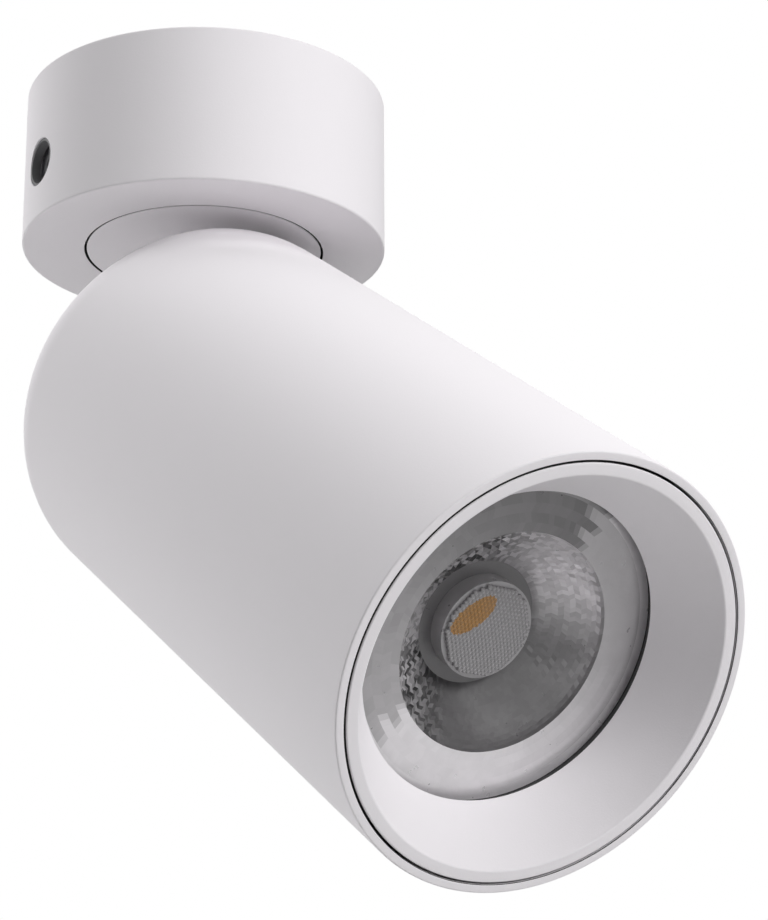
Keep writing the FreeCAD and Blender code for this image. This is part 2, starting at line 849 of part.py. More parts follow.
def pivot_set():
    """Bolt, friction washers, spring washer and nut of the tilt joint."""
    head_start = -lug_outside - mm.pivot_head_height
    nut_start = lug_outside + mm.tilt_spring
    shank = cross_cylinder("PivotShank", mm.pivot_radius, -lug_outside - 1,
                           nut_start + mm.pivot_nut_height + lug_outside + 1)
    head = cross_cylinder("PivotHead", mm.pivot_head_radius, head_start,
                          mm.pivot_head_height)
    socket = cross_cylinder("PivotSocket", mm.pivot_head_radius * 0.5, head_start - 1,
                            mm.pivot_socket_depth + 1)
    finish("pivot_bolt", without("PivotBolt", joined("PivotSolid", [shank, head]),
                                 [socket]), "head")
    bore = mm.pivot_radius + mm.seat_play
    discs = []
    for name, start in (("Right", lug_inside - mm.friction_washer), ("Left", -lug_inside)):
        discs.append(cross_cylinder("Friction" + name, mm.friction_washer_radius, start,
                                    mm.friction_washer))
    bores = [cross_cylinder("FrictionBore", bore, -lug_inside - 1, lug_inside * 2 + 2)]
    finish("friction_washers", without("FrictionWashers", joined("FrictionDiscs", discs),
                                       bores), "head")
    disc = cross_cylinder("TiltSpringDisc", mm.pivot_head_radius, lug_outside,
                          mm.tilt_spring)
    hole = cross_cylinder("TiltSpringBore", bore, lug_outside - 1, mm.tilt_spring + 2)
    finish("tilt_spring_washer", without("TiltSpring", disc, [hole]), "head")
    nut = doc.addObject("Part::Prism", "PivotNutBody")
    nut.Polygon = 6
    tie(nut, "Circumradius", mm.pivot_nut_across * 0.57735)
    tie(nut, "Height", mm.pivot_nut_height)
    place(nut, nut_start, 0, 0, turn=90, lean=90)
    thread = cross_cylinder("PivotNutThread", mm.pivot_radius + mm.screw_play,
                            nut_start - 1, mm.pivot_nut_height + 2)
    finish("pivot_nut", without("PivotNut", nut, [thread]), "head")


def spacer_posts():
    """Three posts that carry the heatsink, each with a threaded stud in front."""
    solids = []
    holes = []
    for index in range(3):
        spot = {"y": post_circle, "about": 120 * index}
        solids.append(cylinder(f"Post{index}", mm.post_radius, bracket_front,
                               heatsink_rear - bracket_front, **spot))
        solids.append(cylinder(f"PostStud{index}", mm.small_screw_radius,
                               heatsink_rear - 1, mm.small_screw_length, **spot))
        holes.append(cylinder(f"PostBore{index}", mm.small_screw_radius + mm.screw_play,
                              bracket_front - 1, mm.small_screw_length, **spot))
    finish("spacer_posts", without("Posts", joined("PostSolids", solids), holes), "head")


def post_screws():
    pieces = []
    for index in range(3):
        pieces += screw(f"PostScrew{index}", mm.small_screw_radius, mm.pillar_end,
                        mm.small_screw_length, mm.small_head_radius,
                        mm.small_head_height, head_up=False, y=post_circle,
                        about=120 * index)
    finish("post_screws", joined("PostScrews", pieces), "head")


def driver():
    """The power supply: case with two ears, board, components, lid and screws."""
    wall = mm.driver_wall
    length, width, height = mm.driver_length, mm.driver_width, mm.driver_height
    inner_length = length - wall * 2
    inner_width = width - wall * 2
    ear_place = (length + mm.ear_length) * 0.5
    case = [centred_block("CaseOutside", length, width, bracket_front, height)]
    holes = [centred_block("CaseInside", inner_length, inner_width, bracket_front + wall,
                           height)]
    bore = mm.small_screw_radius + mm.screw_play
    screws = []
    for name, side in (("Right", 1), ("Left", -1)):
        case.append(centred_block("Ear" + name, mm.ear_length + 1, mm.ear_width,
                                  bracket_front, mm.ear_sheet,
                                  x=(ear_place - 0.5) * side))
        holes.append(cylinder("EarHole" + name, bore, bracket_front - 1,
                              mm.ear_sheet + 2, x=ear_place * side))
        screw_length = mm.short_screw_length
        tip = bracket_front + mm.ear_sheet - screw_length
        screws += screw("DriverScrew" + name, mm.small_screw_radius, tip, screw_length,
                        mm.small_head_radius, mm.small_head_height, x=ear_place * side)
    finish("driver_case", without("DriverCase", joined("CaseSolid", case), holes), "head")
    finish("driver_screws", joined("DriverScrews", screws), "head")
    lid = centred_block("DriverLid", length, width, bracket_front + height, wall)
    finish("driver_lid", joined("DriverCover", [lid]), "head")
    board_start = bracket_front + wall
    board = centred_block("DriverBoard", inner_length - mm.board_play,
                          inner_width - mm.board_play, board_start, mm.board_sheet)
    finish("driver_board", joined("DriverPrint", [board]), "head")
    part_start = board_start + mm.board_sheet
    core = centred_block("TransformerCore", mm.transformer_side, mm.transformer_side,
                         part_start, mm.transformer_height, x=-mm.component_place)
    finish("driver_transformer", joined("DriverTransformer", [core]), "head")
    can = cylinder("CapacitorCan", mm.capacitor_radius, part_start, mm.capacitor_height,
                   x=mm.component_place)
    finish("driver_capacitor", joined("DriverCapacitor", [can]), "head")


def heatsink():
    """A finned aluminium body with a flat front for the light source."""
    body = new_body("Heatsink")
    base_start = heatsink_front - mm.heatsink_base
    fin_length = mm.heatsink_length - mm.heatsink_base
    base = circle(body, "HeatsinkBaseOutline", 0, 0, heatsink_radius, start=base_start)
    pad(body, "HeatsinkBase", base, mm.heatsink_base)
    core = circle(body, "HeatsinkCoreOutline", 0, 0, mm.heatsink_core,
                  start=heatsink_rear)
    pad(body, "HeatsinkCore", core, fin_length + 1)
    half = mm.fin_sheet * 0.5
    fin = outline(body, "FinOutline", [
        (mm.heatsink_core - 1, -half),
        (heatsink_radius - 0.5, -half),
        (heatsink_radius - 0.5, half),
        (mm.heatsink_core - 1, half),
    ], plane="XY_Plane", start=heatsink_rear)
    fin_pad = pad(body, "Fin", fin, fin_length + 1)
    pattern(body, "Fins", fin_pad, mm.fin_count)
    boss = circle(body, "HeatsinkBossOutline", 0, post_circle, mm.heatsink_boss,
                  start=heatsink_rear)
    boss_pad = pad(body, "HeatsinkBoss", boss, fin_length + 1)
    pattern(body, "HeatsinkBosses", boss_pad, 3)
    bore = mm.small_screw_radius + mm.screw_play
    stud = circle(body, "HeatsinkStudOutline", 0, post_circle, bore,
                  start=heatsink_rear + mm.small_screw_length)
    stud_cut = pocket(body, "HeatsinkStud", stud, mm.small_screw_length + 1)
    pattern(body, "HeatsinkStuds", stud_cut, 3)
    ring_hole = circle(body, "HeatsinkRingOutline", 0, -ring_screw_circle, bore,
                       start=heatsink_front)
    ring_cut = pocket(body, "HeatsinkRing", ring_hole, mm.short_screw_length)
    pattern(body, "HeatsinkRings", ring_cut, 3)
    holder_hole = circle(body, "HeatsinkHolderOutline", mm.holder_screw_circle, 0, bore,
                         start=heatsink_front)
    holder_cut = pocket(body, "HeatsinkHolder", holder_hole, mm.short_screw_length)
    pattern(body, "HeatsinkHolders", holder_cut, 2)
    finish("heatsink", body, "head")


def light_source():
    """Thermal pad, light board, phosphor disc, its clamp and two screws."""
    pad_top = heatsink_front + mm.pad_sheet
    sheet = centred_block("ThermalSheet", mm.pad_side, mm.pad_side, heatsink_front,
                          mm.pad_sheet)
    finish("thermal_pad", joined("ThermalPad", [sheet]), "head")
    board = centred_block("CobBoard", mm.pad_side, mm.pad_side, pad_top, mm.cob_sheet)
    finish("cob_board", joined("CobCarrier", [board]), "head")
    disc = cylinder("PhosphorDisc", mm.phosphor_radius, pad_top + mm.cob_sheet,
                    mm.phosphor_sheet)
    finish("cob_phosphor", joined("CobPhosphor", [disc]), "head")
    recess_side = mm.pad_side + mm.seat_play * 2
    bore = mm.small_screw_radius + mm.screw_play
    holes = [
        cylinder("HolderBore", mm.holder_bore, heatsink_front - 1, mm.holder_height + 2),
        centred_block("HolderRecess", recess_side, recess_side, heatsink_front - 1,
                      mm.holder_recess + 1),
    ]
    screws = []
    tip = heatsink_front + mm.holder_height - mm.short_screw_length
    for index in range(2):
        spot = {"x": mm.holder_screw_circle, "about": 180 * index}
        holes.append(cylinder(f"HolderHole{index}", bore, heatsink_front - 1,
                              mm.holder_height + 2, **spot))
        screws += screw(f"HolderScrew{index}", mm.small_screw_radius, tip,
                        mm.short_screw_length, mm.small_head_radius,
                        mm.small_head_height, **spot)
    plate = cylinder("HolderDisc", mm.holder_radius, heatsink_front, mm.holder_height)
    finish("cob_holder", without("CobHolder", plate, holes), "head")
    finish("cob_screws", joined("CobScrews", screws), "head")


def lens_ring():
    """The dark ring that stands on the heatsink and holds the lens."""
    body = new_body("LensRing")
    bore = lens_radius + mm.ring_play
    outside = bore + mm.ring_wall
    foot_top = heatsink_front + mm.ring_foot_height
    top = front - mm.baffle_depth - 0.3
    ledge_bore = bore - mm.ledge_width
    revolve(body, "LensRingTurned", [
        (bore, heatsink_front),
        (ring_foot_radius, heatsink_front),
        (ring_foot_radius, foot_top),
        (outside, foot_top),
        (outside, top),
        (bore, top),
        (bore, ledge_top),
        (ledge_bore, ledge_top),
        (ledge_bore, ledge_top - mm.ledge_height),
        (bore, ledge_top - mm.ledge_height),
    ])
    hole = circle(body, "LensRingHoleOutline", 0, -ring_screw_circle,
                  mm.small_screw_radius + mm.screw_play, start=foot_top + 1)
    hole_cut = pocket(body, "LensRingHole", hole, mm.ring_foot_height + 2)
    pattern(body, "LensRingHoles", hole_cut, 3)
    finish("lens_ring", body, "head")
    screws = []
    for index in range(3):
        screws += screw(f"RingScrew{index}", mm.small_screw_radius,
                        foot_top - mm.short_screw_length, mm.short_screw_length,
                        mm.ring_screw_head, mm.small_head_height,
                        y=-ring_screw_circle, about=120 * index)
    finish("lens_ring_screws", joined("LensRingScrews", screws), "head")


def lens():
    """The clear collimator: flange, well with a raised dome, and rear cone."""
    body = new_body("Lens")
    rear_face = heatsink_front + mm.holder_height + mm.lens_rear_gap
    floor = lens_face - mm.well_depth
    dome_edge = floor + mm.dome_height - mm.dome_crown
    revolve(body, "LensTurned", [
        (0, rear_face + mm.lens_pocket_depth),
        (mm.lens_pocket_radius, rear_face + mm.lens_pocket_depth),
        (mm.lens_pocket_radius, rear_face),
        (mm.lens_rear_radius, rear_face),
        (lens_radius - mm.lens_lip, ledge_top),
        (lens_radius, ledge_top),
        (lens_radius, lens_face),
        (well_radius, lens_face),
        (well_floor_radius, floor),
        (dome_radius, floor),
        (dome_radius, dome_edge),
        (dome_radius * 0.5, dome_edge + mm.dome_crown * 0.75),
        (0, dome_edge + mm.dome_crown),
    ])
    finish("lens", body, "head")


def anti_glare_cone():
    """The white cone in the mouth with its flange and locating collar."""
    body = new_body("AntiGlareCone")
    chamfer = mm.rim_chamfer
    end = front - mm.baffle_depth
    end_radius = lens_radius - mm.baffle_overlap
    wall = mm.baffle_wall
    collar = tube_bore - mm.seat_play
    revolve(body, "ConeTurned", [
        (mouth_radius - chamfer, front - chamfer),
        (mouth_radius + chamfer * 0.5, front),
        (baffle_radius - chamfer, front),
        (baffle_radius, front - chamfer),
        (baffle_radius, front - mm.collar_start),
        (collar, front - mm.collar_start),
        (collar, front - mm.collar_end),
        (baffle_radius - wall, front - mm.collar_end),
        (baffle_radius - wall, front - wall * 2),
        (mouth_radius - chamfer, front - wall * 2),
        (end_radius + wall, end),
        (end_radius, end),
    ])
    finish("anti_glare_cone", body, "head")


# -------------------------------------------------------------------- build

canopy_shell()
ceiling_bracket()
side_bushes()
side_screws()
terminal_block()
terminal_screws()
earth_screw()
pan_plate()
pan_plate_screws()
pan_bush()
pan_stop_screw()
swivel_disc()
pan_stop_pin()
swivel_arm()
spindle()
pan_stack()
head_housing()
tilt_bracket()
bracket_screws()
pivot_set()
spacer_posts()
post_screws()
driver()
heatsink()
light_source()
lens_ring()
lens()
anti_glare_cone()
doc.recompute()


def check_document():
    """Stop on a feature that failed or a sub-part that is not a sound solid."""
    for thing in doc.Objects:
        if "Invalid" in thing.State or "Error" in thing.State:
            raise RuntimeError(f"{thing.Name} ({thing.Label}) failed")
    for node, thing in sub_parts.items():
        shape = thing.Shape
        if shape.isNull() or not shape.isValid() or not shape.Solids:
            raise RuntimeError(f"{node} has no sound solid")


check_document()
for node, thing in sub_parts.items():
    thing.Shape.exportStep(f"parts/{node}.step")
    print(f"{node}: {len(thing.Shape.Solids)} solids, {thing.Shape.Volume:.0f} mm3")
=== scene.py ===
# %% [markdown]
# # A surface mounted ceiling spotlight
# The light has three moving groups: a round canopy on the ceiling, a swivel that
# turns in it, and a tubular head that tilts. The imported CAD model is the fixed
# frame. We keep it for everything hidden, and model the visible shells again with
# fine rounded edges, because light shows a shell's edges first.

# %% Load the frame
import json
import math
import random

import bmesh
import bpy
from mathutils import Matrix, Vector


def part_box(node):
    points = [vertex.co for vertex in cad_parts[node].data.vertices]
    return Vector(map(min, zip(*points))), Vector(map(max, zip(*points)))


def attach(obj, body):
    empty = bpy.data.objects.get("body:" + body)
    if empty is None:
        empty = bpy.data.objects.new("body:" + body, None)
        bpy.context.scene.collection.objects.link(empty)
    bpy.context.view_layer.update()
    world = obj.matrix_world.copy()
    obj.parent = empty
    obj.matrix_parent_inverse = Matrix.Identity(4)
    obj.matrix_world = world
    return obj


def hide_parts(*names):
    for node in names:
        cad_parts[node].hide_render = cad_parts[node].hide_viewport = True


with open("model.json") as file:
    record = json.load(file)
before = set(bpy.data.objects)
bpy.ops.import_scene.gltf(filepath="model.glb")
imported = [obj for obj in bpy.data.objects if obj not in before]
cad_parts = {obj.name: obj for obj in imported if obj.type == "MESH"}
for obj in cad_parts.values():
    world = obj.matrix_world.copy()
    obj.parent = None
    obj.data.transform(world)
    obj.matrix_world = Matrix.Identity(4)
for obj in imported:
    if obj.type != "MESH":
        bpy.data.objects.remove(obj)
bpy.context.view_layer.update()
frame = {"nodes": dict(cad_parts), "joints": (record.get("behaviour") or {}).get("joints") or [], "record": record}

# %% [markdown]
# The head is easiest to draw upright: Z is the way the light shines and X is the
# tilt axis. The tilt joint gives the pivot and the axis, and a tilt of 55 degrees
# tells where the light points, so one matrix carries every head piece to its place.

# %% The head's own axes
MM = 0.001
joints = {joint["name"]: joint for joint in frame["joints"]}
pivot = Vector(joints["tilt"]["pos_m"])
tilt_axis = Vector(joints["tilt"]["axis"]).normalized()
TILT = math.radians(55.0)
heading = tilt_axis.cross(Vector((0, 0, 1)))
light_way = (heading * math.sin(TILT) - Vector((0, 0, math.cos(TILT)))).normalized()
upper_side = light_way.cross(tilt_axis)
head_place = Matrix((tilt_axis, upper_side, light_way)).transposed().to_4x4()
head_place.translation = pivot
swivel_turn = Matrix.Rotation(math.atan2(tilt_axis.y, tilt_axis.x), 4, "Z")
print("light points to", [round(v, 3) for v in light_way])


# %% Sizes read from the frame
def node_points(node):
    return [v.co for v in frame["nodes"][node].data.vertices]


def head_extent(node):
    """Lowest and highest z of a head node, and its radius, about the light's axis."""
    inverse = head_place.inverted()
    points = [inverse @ p for p in node_points(node)]
    radius = max(math.hypot(p.x, p.y) for p in points)
    return min(p.z for p in points), max(p.z for p in points), radius


canopy_low, canopy_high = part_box("canopy_shell")
CANOPY_R = (canopy_high.x - canopy_low.x) / 2
CANOPY_H = -canopy_low.z
disc_low, disc_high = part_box("swivel_disc")
DISC_R = (disc_high.x - disc_low.x) / 2
HEAD_REAR, HEAD_FRONT, HEAD_R = head_extent("head_housing")
LENS_REAR, LENS_FACE, LENS_R = head_extent("lens")
print("canopy radius", round(CANOPY_R, 4), "head radius", round(HEAD_R, 4))
print("lens face depth", round((HEAD_FRONT - LENS_FACE) / MM, 2))


# %% [markdown]
# ## Turned pieces
# Canopy, disc, head and cone are all round, so each starts as half a section that
# is spun about Z. Real castings and extrusions have no knife edges, so chosen
# corners of the section get a bevel after the spin. Its segments catch the thin
# highlights that make an edge look manufactured.

# %% Spin and bevel
STEPS = 160
SHARP = math.radians(35)


def new_object(name, bm, place=None):
    mesh = bpy.data.meshes.new(name)
    if place is not None:
        bmesh.ops.transform(bm, matrix=place, verts=bm.verts[:])
    bm.to_mesh(mesh)
    bm.free()
    piece = bpy.data.objects.new(name, mesh)
    bpy.context.scene.collection.objects.link(piece)
    return piece


def spin_section(section, steps=STEPS, closed=True):
    """A bmesh from a section of (radius, height) corners."""
    bm = bmesh.new()
    corners = [bm.verts.new((r, 0, z)) for r, z in section]
    count = len(corners)
    for i in range(count if closed else count - 1):
        bm.edges.new((corners[i], corners[(i + 1) % count]))
    bmesh.ops.spin(bm, geom=bm.verts[:] + bm.edges[:], cent=(0, 0, 0), axis=(0, 0, 1),
                   angle=math.tau, steps=steps, use_merge=True)
    bmesh.ops.remove_doubles(bm, verts=bm.verts[:], dist=1e-6)
    bmesh.ops.recalc_face_normals(bm, faces=bm.faces[:])
    return bm


def bevel_corner(bm, corner, width, segments=3):
    """Round the edge ring that a corner of the section became."""
    radius, height = corner
    near = 1e-5

    def on_ring(vert):
        return abs(vert.co.xy.length - radius) < near and abs(vert.co.z - height) < near

    ring = [e for e in bm.edges if all(on_ring(v) for v in e.verts)]
    bmesh.ops.bevel(bm, geom=ring, offset=width, offset_type="OFFSET", segments=segments,
                    profile=0.5, affect="EDGES", material=-1, clamp_overlap=True)


def shade(piece, sharp=SHARP, weighted=True):
    """Smooth faces, with edges sharper than the limit kept crisp."""
    bm = bmesh.new()
    bm.from_mesh(piece.data)
    for face in bm.faces:
        face.smooth = True
    for edge in bm.edges:
        edge.smooth = len(edge.link_faces) == 2 and edge.calc_face_angle(0) < sharp
    bm.to_mesh(piece.data)
    bm.free()
    if weighted:
        modifier = piece.modifiers.new("weighted_normals", "WEIGHTED_NORMAL")
        modifier.keep_sharp = True
    return piece


def turned(name, section, bevels=(), place=None, steps=STEPS, closed=True):
    bm = spin_section(section, steps, closed)
    for index, width, segments in bevels:
        bevel_corner(bm, section[index], width, segments)
    bmesh.ops.recalc_face_normals(bm, faces=bm.faces[:])
    piece = new_object(name, bm, place)
    print(name, len(piece.data.polygons), "faces")
    return piece


def paint_gap_shade(piece, inside):
    """Mark faces in narrow gaps for painted shade, by their radius and height."""
    marks = piece.data.attributes.new("recess", "FLOAT", "FACE")
    for face in piece.data.polygons:
        middle = face.center
        across = abs(face.normal.z) < 0.5
        if across and inside(middle.xy.length, middle.z):
            marks.data[face.index].value = 1.0
    return piece


def cut_with(piece, cutters):
    """Take the cutters out of a piece and apply the result."""
    for cutter in cutters:
        modifier = piece.modifiers.new("cut", "BOOLEAN")
        modifier.operation = "DIFFERENCE"
        modifier.solver = "EXACT"
        modifier.object = cutter
        bpy.context.view_layer.update()
        graph = bpy.context.evaluated_depsgraph_get()
        mesh = bpy.data.meshes.new_from_object(piece.evaluated_get(graph))
        piece.modifiers.clear()
        piece.data = mesh
        bpy.data.objects.remove(cutter)
    return piece


# %% [markdown]
# ## Shader maths
# A material is a small formula. Wrapping a socket in a class with + - * / lets us
# write that formula as plain Python, and each operator adds one Math node.

# %% Socket maths and node making
class Value:
    """A socket of a node tree that takes part in arithmetic."""

    def __init__(self, nodes, socket):
        self.nodes = nodes
        self.socket = socket

    def joined(self, operation, first, second):
        return self.nodes.add("ShaderNodeMath", {"operation": operation},
                              {0: first, 1: second})[0]

    def __add__(self, other):
        return self.joined("ADD", self, other)

    __radd__ = __add__

    def __sub__(self, other):
        return self.joined("SUBTRACT", self, other)

    def __rsub__(self, other):
        return self.joined("SUBTRACT", other, self)

    def __mul__(self, other):
        return self.joined("MULTIPLY", self, other)

    __rmul__ = __mul__


class Nodes:
    """Makes the nodes of one material."""

    def __init__(self, name):
        self.material = bpy.data.materials.new(name)
        self.material.use_nodes = True
        self.tree = self.material.node_tree
        self.shader = self.tree.nodes["Principled BSDF"]

    def add(self, kind, settings=None, inputs=None):
        """A node of this kind: settings first, then values or links of its sockets."""
        node = self.tree.nodes.new(kind)
        for key, setting in (settings or {}).items():
            if key == "stops":
                self.set_stops(node.color_ramp, setting)
            else:
                setattr(node, key, setting)
        for key, source in (inputs or {}).items():
            self.feed(node.inputs[key], source)
        return [Value(self, socket) for socket in node.outputs]

    def set_stops(self, ramp, stops):
        while len(ramp.elements) < len(stops):
            ramp.elements.new(0.5)
        for element, (place, colour) in zip(ramp.elements, stops):
            element.position = place
            element.color = colour

    def feed(self, socket, source):
        if isinstance(source, Value):
            self.tree.links.new(source.socket, socket)
        else:
            socket.default_value = source

    def set(self, **values):
        """Feed the shader's own sockets, named with _ for a blank."""
        for key, source in values.items():
            self.feed(self.shader.inputs[key.replace("_", " ")], source)

    def position(self):
        return self.add("ShaderNodeTexCoord")[3]

    def noise(self, scale, detail=2.0, roughness=0.5, vector=None):
        return self.add("ShaderNodeTexNoise", None, {
            "Vector": vector or self.position(), "Scale": scale, "Detail": detail,
            "Roughness": roughness})[0]

    def bump(self, height, strength, distance):
        return self.add("ShaderNodeBump", None, {
            "Height": height, "Strength": strength, "Distance": distance})[0]

    def blend(self, factor, first, second):
        return self.add("ShaderNodeMix", {"data_type": "RGBA"}, {
            0: factor, 6: first, 7: second})[2]


def rgba(grey, violet=0.0, alpha=1.0):
    """A grey, with a touch of violet if wanted."""
    return (grey + violet * 0.5, grey - violet * 0.5, grey + violet * 0.5, alpha)


# %% [markdown]
# ## Finishes
# Powder coat is a sprayed and baked polymer: almost matt, with a very fine orange
# peel. Two noises do it: a fine one for the bump and a broad one that lets the
# roughness drift a little, as it does on a real batch. Faces marked as lying in a
# narrow gap are coloured near black: painted shade.

# %% Powder coat
def powder_coat(name, grey, peel=0.35, violet=0.026):
    nodes = Nodes(name)
    fine = nodes.noise(2600.0, 3.0, 0.6)
    broad = nodes.noise(28.0, 2.0)
    tone = nodes.blend(broad, rgba(grey - 0.006, violet), rgba(grey + 0.006, violet))
    # Faces marked as lying in a gap get a near black colour: painted shade.
    recess = nodes.add("ShaderNodeAttribute", {"attribute_name": "recess"})[2]
    tone = nodes.blend(recess, tone, rgba(0.03))
    nodes.set(Base_Color=tone, Roughness=0.5 + broad * 0.1 + fine * 0.06, IOR=1.46,
              Normal=nodes.bump(fine, peel, 0.00006))
    return nodes.material


# %% Moulded plastics, rubbers and coated sheet
def moulded(name, colour, roughness=0.45, grain=0.25, scale=1800.0, specular=0.5):
    nodes = Nodes(name)
    fine = nodes.noise(scale, 3.0)
    broad = nodes.noise(60.0, 2.0)
    darker = tuple(c * 0.9 for c in colour[:3]) + (1.0,)
    nodes.set(Base_Color=nodes.blend(broad, darker, colour),
              Roughness=roughness - 0.06 + broad * 0.12,
              Normal=nodes.bump(fine, grain, 0.00005))
    nodes.shader.inputs["Specular IOR Level"].default_value = specular
    return nodes.material


# %% [markdown]
# Zinc plated steel, brass and bare aluminium are metals with tool marks. Noise
# stretched along one axis gives fine brushed lines, and it moves the roughness as
# well as the bump.

# %% Metals
def brushed_metal(name, colour, roughness=0.3, stretch=(60.0, 60.0, 2400.0)):
    nodes = Nodes(name)
    turned_space = nodes.add("ShaderNodeMapping", None, {
        "Vector": nodes.position(), "Scale": stretch})[0]
    lines = nodes.noise(1.0, 4.0, 0.65, turned_space)
    stain = nodes.noise(90.0, 3.0)
    darker = tuple(c * 0.82 for c in colour[:3]) + (1.0,)
    nodes.set(Base_Color=nodes.blend(stain, darker, colour), Metallic=1.0,
              Roughness=roughness - 0.08 + lines * 0.12 + stain * 0.08,
              Normal=nodes.bump(lines, 0.2, 0.00004))
    return nodes.material


WHITE = 0.86
finishes = {
    "white_paint": powder_coat("white_powder_coat", WHITE),
    "grey_trim": moulded("dark_grey_nylon", (0.19, 0.19, 0.195, 1), 0.5),
    "black_plastic": moulded("black_moulding", (0.07, 0.07, 0.072, 1), 0.5),
    "white_plastic": moulded("white_moulding", (0.78, 0.78, 0.77, 1), 0.4),
    "zinc_steel": brushed_metal("zinc_plate", (0.62, 0.63, 0.65, 1), 0.32),
    "dark_steel": brushed_metal("black_oxide", (0.25, 0.25, 0.26, 1), 0.35),
    "slide_plastic": moulded("natural_acetal", (0.82, 0.81, 0.76, 1), 0.3),
    "brass": brushed_metal("turned_brass", (0.75, 0.56, 0.26, 1), 0.28),
    "aluminium": brushed_metal("bare_aluminium", (0.72, 0.73, 0.74, 1), 0.34),
    "circuit_board": moulded("solder_mask", (0.02, 0.2, 0.08, 1), 0.3),
    "ceramic": moulded("white_ceramic", (0.8, 0.8, 0.78, 1), 0.35),
    "grey_silicone": moulded("grey_silicone", (0.3, 0.31, 0.33, 1), 0.6),
    "can_foil": moulded("capacitor_sleeve", (0.02, 0.03, 0.12, 1), 0.25),
    "core_tape": moulded("winding_tape", (0.75, 0.5, 0.05, 1), 0.35),
}


# %% [markdown]
# The light source is a flat disc of silicone filled with phosphor. Switched off,
# it is a saturated amber, slightly mottled by the grains in it.

# %% Phosphor
def phosphor():
    nodes = Nodes("amber_phosphor")
    grains = nodes.noise(3000.0, 3.0, 0.7)
    nodes.set(Base_Color=nodes.blend(grains, (0.75, 0.3, 0.02, 1), (0.95, 0.48, 0.05, 1)),
              Roughness=0.4 + grains * 0.2, Normal=nodes.bump(grains, 0.3, 0.00005))
    return nodes.material


finishes["phosphor"] = phosphor()


# %% Clear optic
def clear_acrylic():
    nodes = Nodes("clear_acrylic")
    ripple = nodes.noise(120.0, 2.0)
    nodes.set(Base_Color=(0.97, 0.98, 0.98, 1), Roughness=0.02 + ripple * 0.03, IOR=1.49)
    nodes.shader.inputs["Transmission Weight"].default_value = 1.0
    return nodes.material


finishes["clear_acrylic"] = clear_acrylic()


def dress(piece, finish):
    piece.data.materials.clear()
    piece.data.materials.append(finishes[finish])
    return piece


# %% Finish every CAD node from its slot
slot_of = {row["node"]: row["material_slot"] for row in frame["record"]["subparts"]}
for node, piece in frame["nodes"].items():
    dress(piece, slot_of[node])
print(len(slot_of), "nodes finished from", len(finishes), "finishes")


def stands_for(piece, node, body):
    """The piece takes a CAD node's place, finish slot and body."""
    dress(piece, slot_of[node])
    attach(piece, body)
    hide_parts(node)
    return piece


# %% [markdown]
# ## Canopy
# The canopy is a deep drawn or turned cup. Its section is spun, the outer edges get
# half a millimetre of rounding, and two side holes are cut for the fixing screws.

# %% Canopy shell
EDGE = 0.5 * MM
WALL = 2.5 * MM
FLOOR = 3.0 * MM
OPENING_R = DISC_R + 0.5 * MM
SIDE_HOLE_R = 5.5 * MM
SIDE_HOLE_Z = -22.7 * MM


def cylinder_cutter(name, radius, start, end, segments=64):
    """A cylinder between two points."""
    bm = bmesh.new()
    way = end - start
    bmesh.ops.create_cone(bm, cap_ends=True, segments=segments, radius1=radius,
                          radius2=radius, depth=way.length)
    place = Matrix.Translation((start + end) / 2) @ way.to_track_quat("Z", "Y").to_matrix().to_4x4()
    return new_object(name, bm, place)


def canopy_shell():
    inner = CANOPY_R - WALL
    section = [
        (inner, 0), (CANOPY_R, 0), (CANOPY_R, -CANOPY_H), (OPENING_R, -CANOPY_H),
        (OPENING_R, -CANOPY_H + FLOOR), (inner, -CANOPY_H + FLOOR),
    ]
    bevels = [(1, EDGE, 3), (2, EDGE, 4), (3, 0.15 * MM, 2)]
    shell = turned("canopy_cup", section, bevels, steps=192)
    reach = CANOPY_R * 1.2
    cutter = cylinder_cutter("side_cutter", SIDE_HOLE_R, Vector((-reach, 0, SIDE_HOLE_Z)),
                             Vector((reach, 0, SIDE_HOLE_Z)), 72)
    cut_with(shell, [cutter])
    # The side wall of the floor's opening, round the disc, is painted dark as shade.
    gap = OPENING_R + 0.1 * MM
    return shade(paint_gap_shade(shell, lambda r, z: r < gap and z < FLOOR - CANOPY_H))


stands_for(canopy_shell(), "canopy_shell", "canopy")


# %% [markdown]
# ## Swivel disc
# A thin dark line in the photograph is the half millimetre gap round this disc.

# %% Swivel disc
def swivel_disc():
    low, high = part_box("swivel_disc")
    bore = 5.1 * MM
    section = [(bore, low.z), (DISC_R, low.z), (DISC_R, high.z), (bore, high.z)]
    cover = turned("swivel_cover", section, [(1, 0.25 * MM, 3)], swivel_turn)
    # The disc's side wall, in the gap to the canopy, is painted dark as shade.
    inner = DISC_R - 0.05 * MM
    return shade(paint_gap_shade(cover, lambda r, z: r > inner and z > low.z + 0.2 * MM))


stands_for(swivel_disc(), "swivel_disc", "swivel")

# %% [markdown]
# ## Head
# The head is one tube, closed and rounded at the back. The rounding is a bevel of
# 15 mm on the rear edge, with many segments so that its highlight runs smoothly.

# %% Head housing
TUBE_WALL = 1.7 * MM
REAR_WALL = 2.5 * MM
ROUNDING = 15.0 * MM
SLOT_HALF = 6.7 * MM
SLOT_UP = 29.5 * MM
SLOT_DOWN = 5.8 * MM


